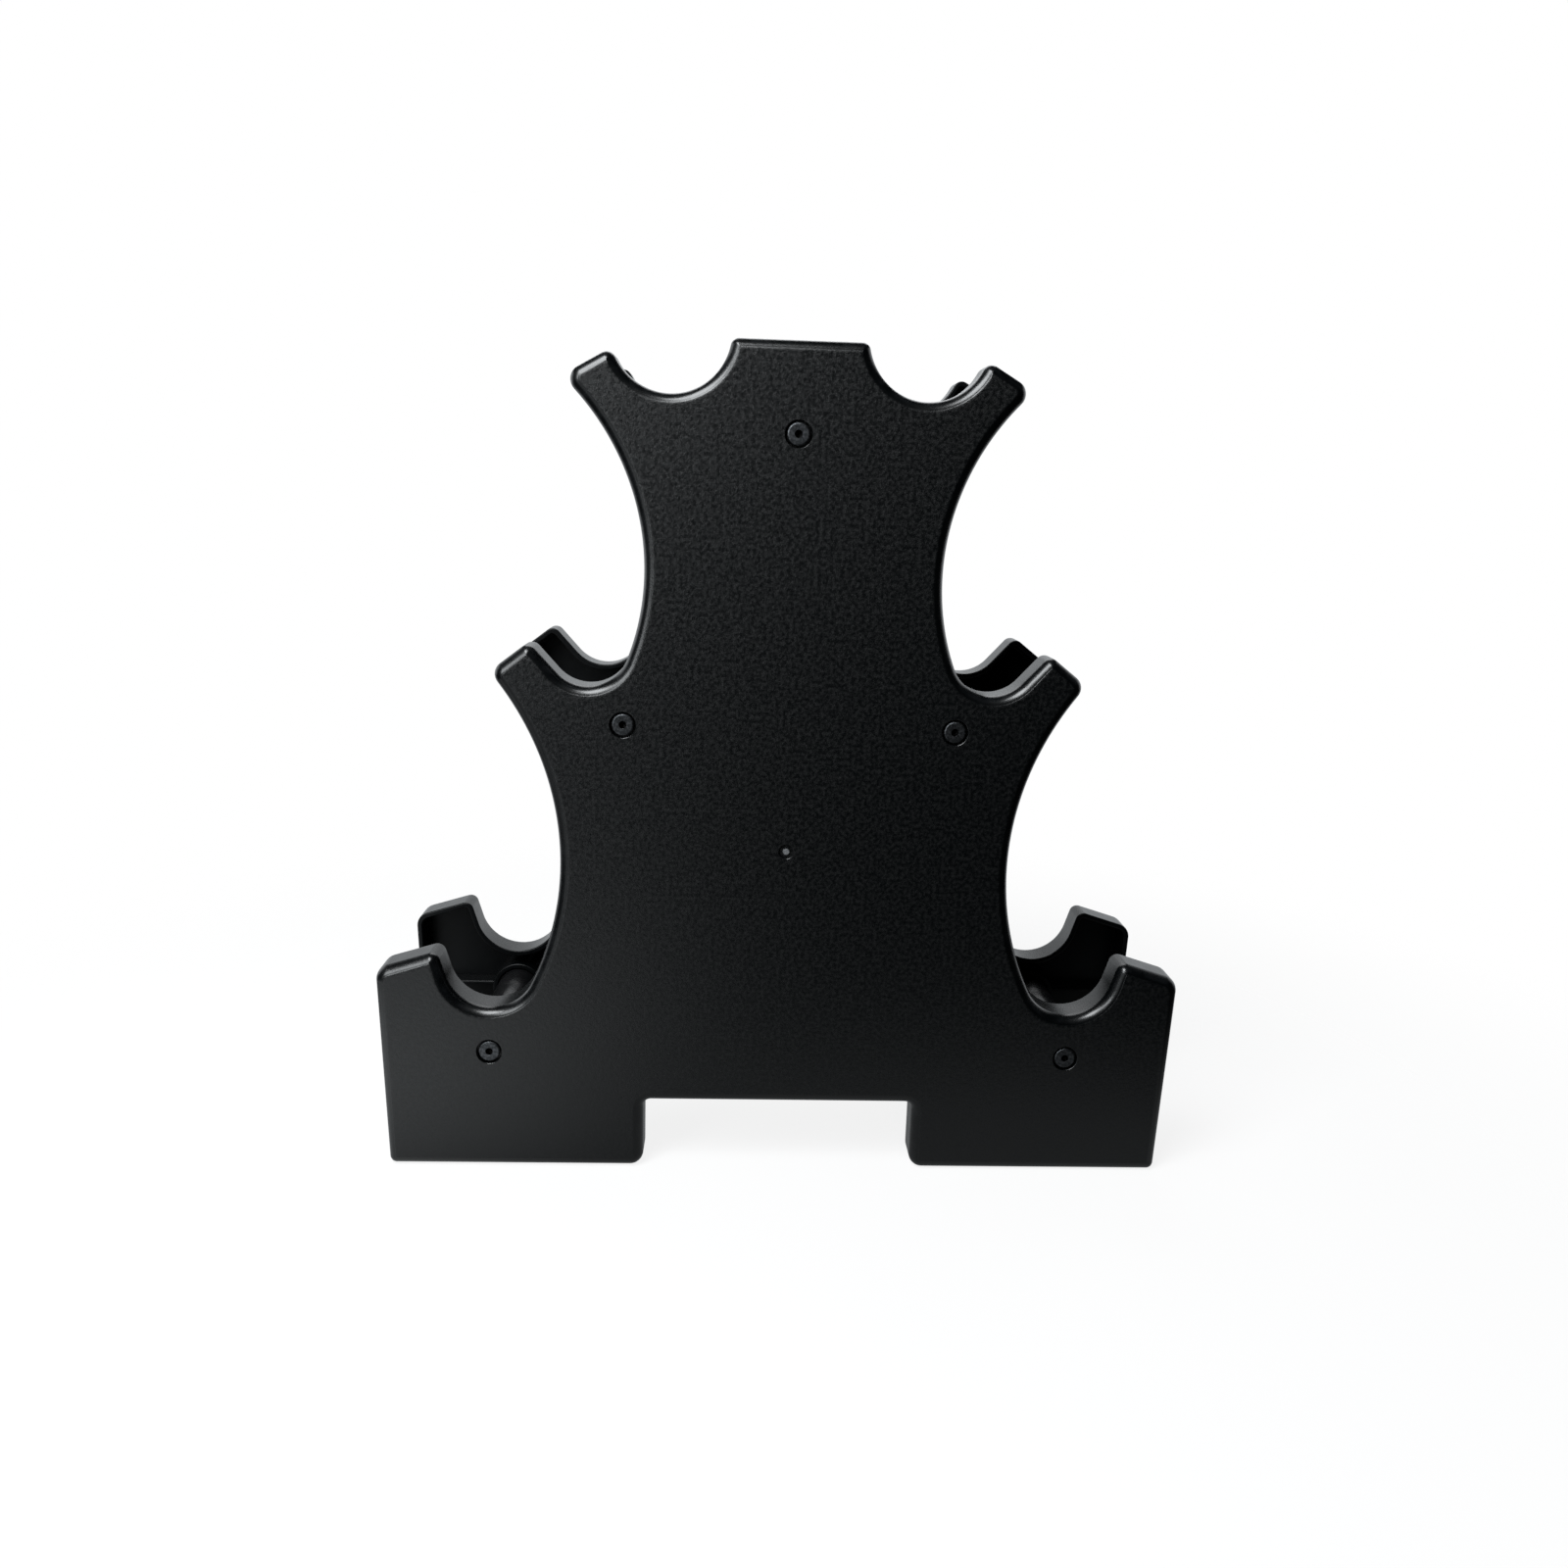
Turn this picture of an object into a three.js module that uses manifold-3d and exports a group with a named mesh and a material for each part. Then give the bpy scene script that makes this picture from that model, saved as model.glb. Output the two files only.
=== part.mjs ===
// Three-tier dumbbell rack: two identical moulded end panels, back to back, tied together by five tubes.
// Millimetres. +X runs to the right, the front panel faces -Y, and +Z is up. The origin is on the floor,
// midway between the panels.
import * as THREE from "three";
import { mergeVertices } from "three/addons/utils/BufferGeometryUtils.js";
import Module from "manifold-3d";

const wasm = await Module();
wasm.setup();

// ---- driving dimensions ----

const RACK_HEIGHT = 370;
const RACK_DEPTH = 96; // over the outer faces of the two panels
const CLEARANCE = 0.3; // left between two pieces that meet

// End panel: a tray, closed on its outer face and open towards the other panel
const PANEL_DEPTH = 18;
const FACE_WALL = 3;
const EDGE_WALL = 2.6;
const FACE_FILLET = 5; // rounding between the outer face and the edge
const FILLET_OVERRUN = 0.4; // how far the rounding is carried past the edge before it is trimmed
const RIB_THICKNESS = 2;
const RIB_HEIGHT = 8;

// Panel outline, right half, x from the centre line and z from the floor
const TOP_HALF_WIDTH = 25.5;
const TOP_SADDLE = { x: 53.4, z: 372.5, radius: 25.2 };
const TOP_HORN = { x: 82, z: 362, slope: -29.7 };
const UPPER_WAIST = { x: 169, z: 275, radius: 105.4 };
const MIDDLE_SADDLE = { radius: 18.2, bearing: 201.4, exit: 48 };
const MIDDLE_HORN = { x: 114.9, z: 241.6, slope: -37.6 };
const LOWER_WAIST = { x: 232, z: 147, radius: 132 };
const LOWER_SADDLE = { radius: 20.6, bearing: 206.3, exit: 73 };
const LOWER_HORN = { x: 161.1, z: 101.6, slope: -17 };
const BASE_SIDE = { x: 181.3, z: 51.8, slope: -92 };
const NOTCH_HALF_WIDTH = 62.5;
const NOTCH_HEIGHT = 33;
const HORN_TIP_ROUND = 4;
const HORN_HEEL_ROUND = 5.8;
const BASE_CORNER_ROUND = 7;
const SMALL_ROUND = 3.5;
const FOOT_INNER_ROUND = 6;
const ARC_SAGITTA = 0.35; // furthest that a chord of the outline lies from its arc

// The five screw points, x to the right seen from the front
const STATIONS = {
  top: { x: 0, z: 332.6 },
  middle_left: { x: -72.2, z: 209 },
  middle_right: { x: 72.2, z: 209 },
  lower_left: { x: -132.3, z: 57 },
  lower_right: { x: 132.3, z: 57 },
};

// Moulding gate mark on the outer face
const GATE_MARK = { z: 153.8, dimpleRadius: 3.6, dimpleDepth: 1.1, nubRadius: 1.6, nubHeight: 0.95 };

// Cross tube and its seat in the panel
const TUBE_RADIUS = 10;
const TUBE_WALL = 1.2;
const SEAT_RADIUS = TUBE_RADIUS + CLEARANCE + 0.2; // its flats clear the tube
const BOSS_RADIUS = SEAT_RADIUS + 2.5;

// M5 button-head screw with a hexagon socket, and its recess
const SCREW = { headRadius: 4.75, headHeight: 2.75, socketFlats: 3, socketDepth: 1.6, shank: 2.2, length: 16 };
const RECESS_RADIUS = 5.7;
const RECESS_DEPTH = 3.4;
const SCREW_HOLE_RADIUS = 2.8;
const SEAT_WALL = 3.5; // left between the screw's recess and the tube's seat

// Plug pressed into the tube's end, and the M5 nut held in it
const PLUG_FLANGE = 1.5;
const PLUG_LENGTH = 12.5;
const NUT = { flats: 8, height: 4, bore: 2.5, chamfer: 0.5 };

// Depths along an axis, from a panel's outer face inwards
const HEAD_SEAT = RECESS_DEPTH - CLEARANCE;
const TUBE_SEAT = RECESS_DEPTH + SEAT_WALL;
const PLUG_START = TUBE_SEAT + CLEARANCE;
const TUBE_START = PLUG_START + PLUG_FLANGE + CLEARANCE;
const PLUG_END = PLUG_START + PLUG_LENGTH;
const NUT_START = HEAD_SEAT + SCREW.length - NUT.height;

// ---- solids ----

const radians = THREE.MathUtils.degToRad;

function solidOf(geometry) {
  const bare = geometry.index ? geometry.toNonIndexed() : geometry.clone();
  bare.deleteAttribute("normal");
  bare.deleteAttribute("uv");
  const merged = mergeVertices(bare, 1e-4);
  return new wasm.Manifold(
    new wasm.Mesh({
      numProp: 3,
      vertProperties: merged.attributes.position.array,
      triVerts: new Uint32Array(merged.index.array),
    }),
  );
}

function geometryOf(solid) {
  const mesh = solid.getMesh();
  const geometry = new THREE.BufferGeometry();
  geometry.setAttribute("position", new THREE.BufferAttribute(mesh.vertProperties, 3));
  geometry.setIndex(new THREE.BufferAttribute(mesh.triVerts, 1));
  geometry.computeVertexNormals();
  return geometry;
}

// A prism of a shape, between two depths.
function prism(shape, from, to, curveSegments = 12) {
  const options = { depth: to - from, bevelEnabled: false, curveSegments };
  return solidOf(new THREE.ExtrudeGeometry(shape, options).translate(0, 0, from));
}

// A round or polygonal bar along the depth axis, between two depths.
function bar(x, y, radius, from, to, sides = 20) {
  const geometry = new THREE.CylinderGeometry(radius, radius, to - from, sides);
  return solidOf(geometry.rotateX(Math.PI / 2).translate(x, y, (from + to) / 2));
}

const hexagonRadius = (flats) => flats / 2 / Math.cos(Math.PI / 6);

// ---- panel outline ----
// It runs clockwise from the top's middle. A side is a line, with its direction of travel, or the arc of a
// circle that lies outside the panel. Moving a side by an inset takes it into the panel.

function lineSide({ x, z, slope }) {
  return { point: new THREE.Vector2(x, z), angle: radians(slope) };
}

function arcSide({ x, z, radius }) {
  return { centre: new THREE.Vector2(x, z), radius };
}

// A saddle that the waist's arc above it runs into without a corner, and the straight that leaves it.
function saddleSides(waist, saddle) {
  const reach = waist.radius - saddle.radius;
  const bearing = radians(saddle.bearing);
  const centre = new THREE.Vector2(waist.x + reach * Math.cos(bearing), waist.z + reach * Math.sin(bearing));
  const exit = radians(saddle.exit);
  const end = new THREE.Vector2(Math.sin(exit), -Math.cos(exit)).multiplyScalar(saddle.radius).add(centre);
  return [{ centre, radius: saddle.radius }, { point: end, angle: exit }];
}

const [middleSaddle, middleHornInner] = saddleSides(UPPER_WAIST, MIDDLE_SADDLE);
const [lowerSaddle, lowerHornInner] = saddleSides(LOWER_WAIST, LOWER_SADDLE);

// Each side with the rounding of the corner after it: 0 where it runs on smoothly, below 0 in a hollow.
// A corner moved in by more than its rounding comes to a point.
const OUTLINE = [
  [lineSide({ x: TOP_HALF_WIDTH, z: RACK_HEIGHT, slope: 0 }), SMALL_ROUND],
  [arcSide(TOP_SADDLE), HORN_TIP_ROUND],
  [lineSide(TOP_HORN), HORN_HEEL_ROUND],
  [arcSide(UPPER_WAIST), 0],
  [middleSaddle, 0],
  [middleHornInner, HORN_TIP_ROUND],
  [lineSide(MIDDLE_HORN), HORN_HEEL_ROUND],
  [arcSide(LOWER_WAIST), 0],
  [lowerSaddle, 0],
  [lowerHornInner, HORN_TIP_ROUND],
  [lineSide(LOWER_HORN), BASE_CORNER_ROUND],
  [lineSide(BASE_SIDE), SMALL_ROUND],
  [lineSide({ x: BASE_SIDE.x, z: 0, slope: 180 }), FOOT_INNER_ROUND],
  [lineSide({ x: NOTCH_HALF_WIDTH, z: 0, slope: 90 }), -SMALL_ROUND],
  [lineSide({ x: NOTCH_HALF_WIDTH, z: NOTCH_HEIGHT, slope: 180 }), null],
];

function movedIn(side, inset) {
  if (side.centre) return { centre: side.centre, radius: side.radius + inset };
  const inwards = new THREE.Vector2(Math.sin(side.angle), -Math.cos(side.angle));
  return { point: side.point.clone().addScaledVector(inwards, inset), angle: side.angle };
}

// The point of a side that lies nearest to a place.
function nearest(side, place) {
  if (side.centre) return place.clone().sub(side.centre).setLength(side.radius).add(side.centre);
  const along = new THREE.Vector2(Math.cos(side.angle), Math.sin(side.angle));
  return side.point.clone().addScaledVector(along, place.clone().sub(side.point).dot(along));
}

// Where a line meets another side: for a circle, the crossing that lies nearer to the line's own point.
function crossing(line, side) {
  const along = new THREE.Vector2(Math.cos(line.angle), Math.sin(line.angle));
  if (!side.centre) {
    const other = new THREE.Vector2(Math.cos(side.angle), Math.sin(side.angle));
    const travel = side.point.clone().sub(line.point).cross(other) / along.cross(other);
    return line.point.clone().addScaledVector(along, travel);
  }
  const foot = nearest(line, side.centre);
  const half = Math.sqrt(side.radius ** 2 - foot.distanceToSquared(side.centre));
  const ends = [foot.clone().addScaledVector(along, half), foot.clone().addScaledVector(along, -half)];
  return ends.sort((a, b) => a.distanceTo(line.point) - b.distanceTo(line.point))[0];
}

function arcPoints(centre, radius, start, end, clockwise) {
  const from = Math.atan2(start.y - centre.y, start.x - centre.x);
  const to = Math.atan2(end.y - centre.y, end.x - centre.x);
  const curve = new THREE.EllipseCurve(centre.x, centre.y, radius, radius, from, to, clockwise);
  const step = 2 * Math.acos(1 - Math.min(ARC_SAGITTA / radius, 0.1));
  return curve.getPoints(Math.max(2, Math.ceil(curve.getLength() / radius / step))).slice(1);
}

// The points of the whole outline, moved into the panel by an inset.
function outlinePoints(inset) {
  const sides = OUTLINE.map(([side]) => movedIn(side, inset));
  const half = [new THREE.Vector2(0, RACK_HEIGHT - inset)];
  OUTLINE.forEach(([, corner], i) => {
    const side = sides[i];
    const next = sides[i + 1];
    const rounding = corner > 0 ? Math.max(corner - inset, 0) : corner - inset;
    let centre = null;
    let end = new THREE.Vector2(0, NOTCH_HEIGHT + inset);
    if (corner) {
      const [a, b] = [movedIn(side, rounding), movedIn(next, rounding)];
      centre = a.centre ? crossing(b, a) : crossing(a, b);
      end = nearest(side, centre);
    } else if (next) {
      end = next.centre ? nearest(side, next.centre) : nearest(next, side.centre);
    }
    if (side.centre) half.push(...arcPoints(side.centre, side.radius, half.at(-1), end, false));
    else if (half.at(-1).distanceTo(end) > 1e-6) half.push(end);
    if (corner && rounding) {
      half.push(...arcPoints(centre, Math.abs(rounding), end, nearest(next, centre), rounding > 0));
    }
  });
  const left = half.slice(1, -1).reverse();
  return [...half, ...left.map((p) => new THREE.Vector2(-p.x, p.y))];
}

// ---- end panel, outer face at depth 0 ----

// The tray's outside, with its rounded face edge.
function panelBody() {
  const rounding = FACE_FILLET + FILLET_OVERRUN;
  const rounded = new THREE.ExtrudeGeometry(new THREE.Shape(outlinePoints(FACE_FILLET)), {
    depth: PANEL_DEPTH,
    bevelThickness: rounding,
    bevelSize: rounding,
    bevelSegments: 3,
  }).translate(0, 0, rounding);
  return solidOf(rounded).intersect(prism(new THREE.Shape(outlinePoints(0)), 0, PANEL_DEPTH));
}

// Stiffening ribs between the screw points, the top edge and the feet.
function panelRibs() {
  const { top, middle_left, middle_right, lower_left, lower_right } = STATIONS;
  const centre = { x: 0, z: middle_right.z };
  const topEdge = { x: 0, z: RACK_HEIGHT };
  const notchTop = { x: 0, z: NOTCH_HEIGHT };
  const lines = [
    [topEdge, notchTop],
    [middle_left, middle_right],
    [lower_left, lower_right],
    [top, middle_left],
    [top, middle_right],
    [middle_left, lower_left],
    [middle_right, lower_right],
    [centre, lower_left],
    [centre, lower_right],
    ...[lower_left, lower_right].map((foot) => [foot, { x: foot.x, z: 0 }]),
    ...[lower_left, lower_right].map((foot) => [foot, { x: Math.sign(foot.x) * BASE_SIDE.x, z: foot.z }]),
  ];
  const ribs = lines.map(([a, b]) => {
    const length = Math.hypot(b.x - a.x, b.z - a.z);
    const box = new THREE.BoxGeometry(length, RIB_THICKNESS, RIB_HEIGHT + 1);
    box.rotateZ(Math.atan2(b.z - a.z, b.x - a.x));
    return solidOf(box.translate((a.x + b.x) / 2, (a.z + b.z) / 2, FACE_WALL + (RIB_HEIGHT - 1) / 2));
  });
  const inside = prism(new THREE.Shape(outlinePoints(EDGE_WALL / 2)), FACE_WALL / 2, PANEL_DEPTH);
  return ribs.reduce((all, rib) => all.add(rib)).intersect(inside);
}

function panelSolid() {
  const pocket = prism(new THREE.Shape(outlinePoints(EDGE_WALL)), FACE_WALL, PANEL_DEPTH + 1);
  let panel = panelBody().subtract(pocket).add(panelRibs());
  for (const { x, z } of Object.values(STATIONS)) {
    panel = panel
      .add(bar(x, z, BOSS_RADIUS, FACE_WALL / 2, PANEL_DEPTH))
      .subtract(bar(x, z, SEAT_RADIUS, TUBE_SEAT, PANEL_DEPTH + 1))
      .subtract(bar(x, z, SCREW_HOLE_RADIUS, RECESS_DEPTH - 1, TUBE_SEAT + 1, 12))
      .subtract(bar(x, z, RECESS_RADIUS, -1, RECESS_DEPTH));
  }
  const { z, dimpleRadius, dimpleDepth, nubRadius, nubHeight } = GATE_MARK;
  return panel
    .subtract(bar(0, z, dimpleRadius, -1, dimpleDepth, 16))
    .add(bar(0, z, nubRadius, dimpleDepth - nubHeight, dimpleDepth + 1, 8));
}

// ---- hardware, along its axis, depth 0 at the panel's outer face ----

// A dome head that runs down to the head's edge, a plain shank and the hexagon socket.
function screwSolid() {
  const { headRadius, headHeight, socketFlats, socketDepth, shank, length } = SCREW;
  const rim = 0.6;
  const crown = 2.6;
  const top = HEAD_SEAT - headHeight;
  const tip = HEAD_SEAT + length;
  const dome = [0, 0.4, 0.75, 1].map((t) => {
    const angle = (t * Math.PI) / 2;
    const radius = crown + (headRadius - crown) * Math.sin(angle);
    return new THREE.Vector2(radius, top + (headHeight - rim) * (1 - Math.cos(angle)));
  });
  const profile = [
    new THREE.Vector2(0, top),
    ...dome,
    new THREE.Vector2(headRadius, HEAD_SEAT),
    new THREE.Vector2(shank, HEAD_SEAT),
    new THREE.Vector2(shank, tip),
    new THREE.Vector2(0, tip),
  ];
  const turned = solidOf(new THREE.LatheGeometry(profile, 16).rotateX(Math.PI / 2));
  return turned.subtract(bar(0, 0, hexagonRadius(socketFlats), top - 1, top + socketDepth, 6));
}

// A flanged plug with a through hole and a hexagon pocket in its inner end.
function plugSolid() {
  const body = bar(0, 0, TUBE_RADIUS - TUBE_WALL - 1.5 * CLEARANCE, PLUG_START, PLUG_END, 16);
  const flange = bar(0, 0, TUBE_RADIUS, PLUG_START, PLUG_START + PLUG_FLANGE, 16);
  const pocket = bar(0, 0, hexagonRadius(NUT.flats) + CLEARANCE, NUT_START - CLEARANCE, PLUG_END + 1, 6);
  const hole = bar(0, 0, SCREW_HOLE_RADIUS, PLUG_START - 1, PLUG_END + 1, 12);
  return body.add(flange).subtract(pocket).subtract(hole);
}

// A hexagon nut with its corners turned off at both ends.
function nutSolid() {
  const { flats, height, bore, chamfer } = NUT;
  const corner = hexagonRadius(flats);
  const profile = [
    new THREE.Vector2(0, 0),
    new THREE.Vector2(corner - chamfer, 0),
    new THREE.Vector2(corner, chamfer),
    new THREE.Vector2(corner, height - chamfer),
    new THREE.Vector2(corner - chamfer, height),
    new THREE.Vector2(0, height),
  ];
  const turned = new THREE.LatheGeometry(profile, 12).rotateX(Math.PI / 2).translate(0, 0, NUT_START);
  return solidOf(turned)
    .intersect(bar(0, 0, corner, NUT_START, NUT_START + height, 6))
    .subtract(bar(0, 0, bore, NUT_START - 1, NUT_START + height + 1, 12));
}

function tubeSolid() {
  const reach = RACK_DEPTH / 2 - TUBE_START;
  const ring = new THREE.Shape().absarc(0, 0, TUBE_RADIUS, 0, 2 * Math.PI);
  ring.holes.push(new THREE.Path().absarc(0, 0, TUBE_RADIUS - TUBE_WALL, 0, 2 * Math.PI));
  return prism(ring, -reach, reach, 10);
}

// ---- materials ----

const finish = {
  panel: { color: 0x141517, roughness: 0.55, metalness: 0 },
  tube: { color: 0x101113, roughness: 0.45, metalness: 0.1 },
  plug: { color: 0x1c1c1e, roughness: 0.6, metalness: 0 },
  screw: { color: 0x2a2b2d, roughness: 0.35, metalness: 0.8 },
  nut: { color: 0x9a9c9e, roughness: 0.4, metalness: 0.9 },
};

function piece(name, geometry, look) {
  const mesh = new THREE.Mesh(geometry, new THREE.MeshStandardMaterial(finish[look]));
  mesh.name = name;
  return mesh;
}

// ---- assembly ----

const panelGeometry = geometryOf(panelSolid());
const tubeGeometry = geometryOf(tubeSolid());
const hardware = {
  screw: geometryOf(screwSolid()),
  plug: geometryOf(plugSolid()),
  nut: geometryOf(nutSolid()),
};

// One end of the rack: a panel with the screws, plugs and nuts of its five screw points. In the end's own
// frame x runs along the panel, y runs up and z runs inwards.
function rackEnd(name, turn) {
  const upright = new THREE.Group();
  upright.rotation.x = Math.PI / 2;
  upright.position.y = RACK_DEPTH / 2;
  upright.add(piece(`${name}_panel`, panelGeometry, "panel"));
  for (const [station, { x, z }] of Object.entries(STATIONS)) {
    for (const [kind, geometry] of Object.entries(hardware)) {
      const mesh = piece(`${name}_${station}_${kind}`, geometry, kind);
      mesh.position.set(turn ? -x : x, z, 0);
      upright.add(mesh);
    }
  }
  const end = new THREE.Group();
  end.rotation.z = turn;
  end.add(upright);
  return end;
}

const rack = new THREE.Group();
rack.name = "dumbbell_rack";
rack.add(rackEnd("front", Math.PI), rackEnd("rear", 0));
for (const [station, { x, z }] of Object.entries(STATIONS)) {
  const tube = piece(`${station}_tube`, tubeGeometry, "tube");
  tube.rotation.x = Math.PI / 2;
  tube.position.set(x, 0, z);
  rack.add(tube);
}

export default rack;
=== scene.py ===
import math

import bmesh
import bpy
from mathutils import Matrix, Vector


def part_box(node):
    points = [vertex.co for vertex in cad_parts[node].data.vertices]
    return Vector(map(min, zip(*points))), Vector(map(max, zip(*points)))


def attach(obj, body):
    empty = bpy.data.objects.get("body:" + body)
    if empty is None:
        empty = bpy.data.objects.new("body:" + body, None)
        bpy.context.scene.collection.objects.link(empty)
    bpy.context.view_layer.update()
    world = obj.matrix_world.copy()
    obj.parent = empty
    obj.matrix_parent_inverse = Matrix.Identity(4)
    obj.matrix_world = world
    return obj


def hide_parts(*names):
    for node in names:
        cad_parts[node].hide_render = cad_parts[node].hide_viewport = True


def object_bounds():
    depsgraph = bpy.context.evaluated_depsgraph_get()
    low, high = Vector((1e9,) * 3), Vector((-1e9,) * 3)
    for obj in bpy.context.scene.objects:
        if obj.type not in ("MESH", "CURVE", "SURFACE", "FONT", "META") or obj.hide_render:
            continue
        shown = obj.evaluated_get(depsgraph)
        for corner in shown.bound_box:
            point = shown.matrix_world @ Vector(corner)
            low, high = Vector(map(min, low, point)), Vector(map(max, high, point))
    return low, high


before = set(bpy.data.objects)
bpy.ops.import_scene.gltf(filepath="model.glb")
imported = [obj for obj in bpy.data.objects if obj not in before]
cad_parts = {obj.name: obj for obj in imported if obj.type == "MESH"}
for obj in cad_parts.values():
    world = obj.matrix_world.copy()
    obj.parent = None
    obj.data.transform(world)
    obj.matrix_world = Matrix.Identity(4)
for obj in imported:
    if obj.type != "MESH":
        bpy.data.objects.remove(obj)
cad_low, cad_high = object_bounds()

MM = 0.001
MERGE_DISTANCE = 1e-6
OVERCUT = 1  # how far a cutter runs past the surface that it cuts, or a rib and boss into the wall
STATIONS = ("top", "middle_left", "middle_right", "lower_left", "lower_right")

RACK_HEIGHT = (cad_high.z - cad_low.z) / MM


def station_place(station):
    """Where a screw point lies in the face of a panel: x and z, in millimetres."""
    low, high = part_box(f"front_{station}_screw")
    return (low.x + high.x) / 2 / MM, (low.z + high.z) / 2 / MM


PLACES = {station: station_place(station) for station in STATIONS}

# ---- panel dimensions, in millimetres and degrees ----

PANEL_DEPTH = 18
FACE_WALL = 3
EDGE_WALL = 2.6
WALL_DRAFT = 0.25
FACE_FILLET = 5
RIM_ROUND = 0.7
FLOOR_ROUND = 0.6
RIB_BASE, RIB_CROWN, RIB_HEIGHT = 2.2, 1.7, 8
RIB_BEVEL, RIB_BEVEL_HEIGHT = 0.4, 0.5
SCREW_HOLE_RADIUS = 2.8
RECESS_RADIUS, RECESS_DEPTH, RECESS_ROUND = 5.7, 3.4, 0.35
SEAT_RADIUS, SEAT_START = 10.5, 6.9
BOSS_RADIUS = 13
GATE_Z = 153.8
DIMPLE_RADIUS, DIMPLE_DEPTH, DIMPLE_ROUND = 3.6, 1.1, 0.35
NUB_RADIUS, NUB_HEIGHT, NUB_STEPS = 1.6, 0.95, 24
NUB_FLAT, NUB_SHOULDER = 0.6, 0.92  # as parts of the nub's radius
NUB_SHOULDER_DROP, NUB_EDGE_DROP = 0.08, 0.3

# Outline, right half. A horn is a line: x, z and slope. The top saddle and the waists are arcs: x, z and
# radius. The other saddles are arcs that a waist runs into: radius, bearing from the waist's centre, and the
# slope at which the outline leaves them.
TOP_HALF_WIDTH = 25.5
TOP_SADDLE = (53.4, 372.5, 25.2)
TOP_HORN = (82, 362, -29.7)
UPPER_WAIST = (169, 275, 105.4)
MIDDLE_SADDLE = (18.2, 201.4, 48)
MIDDLE_HORN = (114.9, 241.6, -37.6)
LOWER_WAIST = (232, 147, 132)
LOWER_SADDLE = (20.6, 206.3, 73)
LOWER_HORN = (161.1, 101.6, -17)
BASE_SIDE_X, BASE_SIDE_Z, BASE_SIDE_SLOPE = 181.3, 51.8, -92
NOTCH_HALF_WIDTH, NOTCH_HEIGHT = 62.5, 33
HORN_TIP_ROUND, HORN_HEEL_ROUND = 4, 5.8
BASE_CORNER_ROUND, FOOT_INNER_ROUND = 7, 6
SMALL_ROUND = 3.5

ARC_STEPS = 40
CORNER_STEPS = 8
FILLET_STEPS = 8
LIP_STEPS = 3
FLAT_ANGLE = 0.05

# ---- panel outline ----
# A side is a line, with its direction of travel, or an arc of a circle outside the panel. The outline runs
# clockwise from the middle of the top edge, and an inset moves every side into the panel by that much.


def line_side(x, z, slope):
    return {"point": Vector((x, z)), "angle": math.radians(slope)}


def arc_side(x, z, radius):
    return {"centre": Vector((x, z)), "radius": radius}


def heading(angle):
    return Vector((math.cos(angle), math.sin(angle)))


def saddle_sides(waist, saddle):
    """The saddle that a waist's arc runs into without a corner, and the straight that leaves it."""
    waist_x, waist_z, waist_radius = waist
    radius, bearing, leaving = saddle
    centre = Vector((waist_x, waist_z)) + (waist_radius - radius) * heading(math.radians(bearing))
    end = centre + radius * heading(math.radians(leaving - 90))
    return arc_side(*centre, radius), line_side(*end, leaving)


middle_saddle, middle_horn_inner = saddle_sides(UPPER_WAIST, MIDDLE_SADDLE)
lower_saddle, lower_horn_inner = saddle_sides(LOWER_WAIST, LOWER_SADDLE)

# Each side with the rounding of the corner after it: 0 where it runs on smoothly, below 0 in a hollow.
OUTLINE = (
    (line_side(TOP_HALF_WIDTH, RACK_HEIGHT, 0), SMALL_ROUND),
    (arc_side(*TOP_SADDLE), HORN_TIP_ROUND),
    (line_side(*TOP_HORN), HORN_HEEL_ROUND),
    (arc_side(*UPPER_WAIST), 0),
    (middle_saddle, 0),
    (middle_horn_inner, HORN_TIP_ROUND),
    (line_side(*MIDDLE_HORN), HORN_HEEL_ROUND),
    (arc_side(*LOWER_WAIST), 0),
    (lower_saddle, 0),
    (lower_horn_inner, HORN_TIP_ROUND),
    (line_side(*LOWER_HORN), BASE_CORNER_ROUND),
    (line_side(BASE_SIDE_X, BASE_SIDE_Z, BASE_SIDE_SLOPE), SMALL_ROUND),
    (line_side(BASE_SIDE_X, 0, 180), FOOT_INNER_ROUND),
    (line_side(NOTCH_HALF_WIDTH, 0, 90), -SMALL_ROUND),
    (line_side(NOTCH_HALF_WIDTH, NOTCH_HEIGHT, 180), None),
)


def moved_in(side, inset):
    if "centre" in side:
        return {"centre": side["centre"], "radius": side["radius"] + inset}
    return {"point": side["point"] + inset * heading(side["angle"] - math.pi / 2), "angle": side["angle"]}


def nearest(side, place):
    """The point of a side that lies nearest to a place."""
    if "centre" in side:
        return side["centre"] + side["radius"] * (place - side["centre"]).normalized()
    along = heading(side["angle"])
    return side["point"] + along * along.dot(place - side["point"])


def crossing(line, side):
    """Where a line meets another side: for a circle, the crossing nearer to the line's own point."""
    along = heading(line["angle"])
    if "centre" not in side:
        other = heading(side["angle"])
        travel = (side["point"] - line["point"]).cross(other) / along.cross(other)
        return line["point"] + along * travel
    foot = nearest(line, side["centre"])
    half = math.sqrt(side["radius"] ** 2 - (foot - side["centre"]).length_squared)
    return min((foot + along * half, foot - along * half), key=lambda p: (p - line["point"]).length)


def arc_points(centre, start, end, steps, clockwise):
    """Points along an arc, without its start."""
    first = math.atan2(start.y - centre.y, start.x - centre.x)
    sweep = (math.atan2(end.y - centre.y, end.x - centre.x) - first) % (2 * math.pi)
    sweep -= 2 * math.pi * clockwise
    reach = (start - centre).length
    return [centre + reach * heading(first + sweep * i / steps) for i in range(1, steps + 1)]


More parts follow.
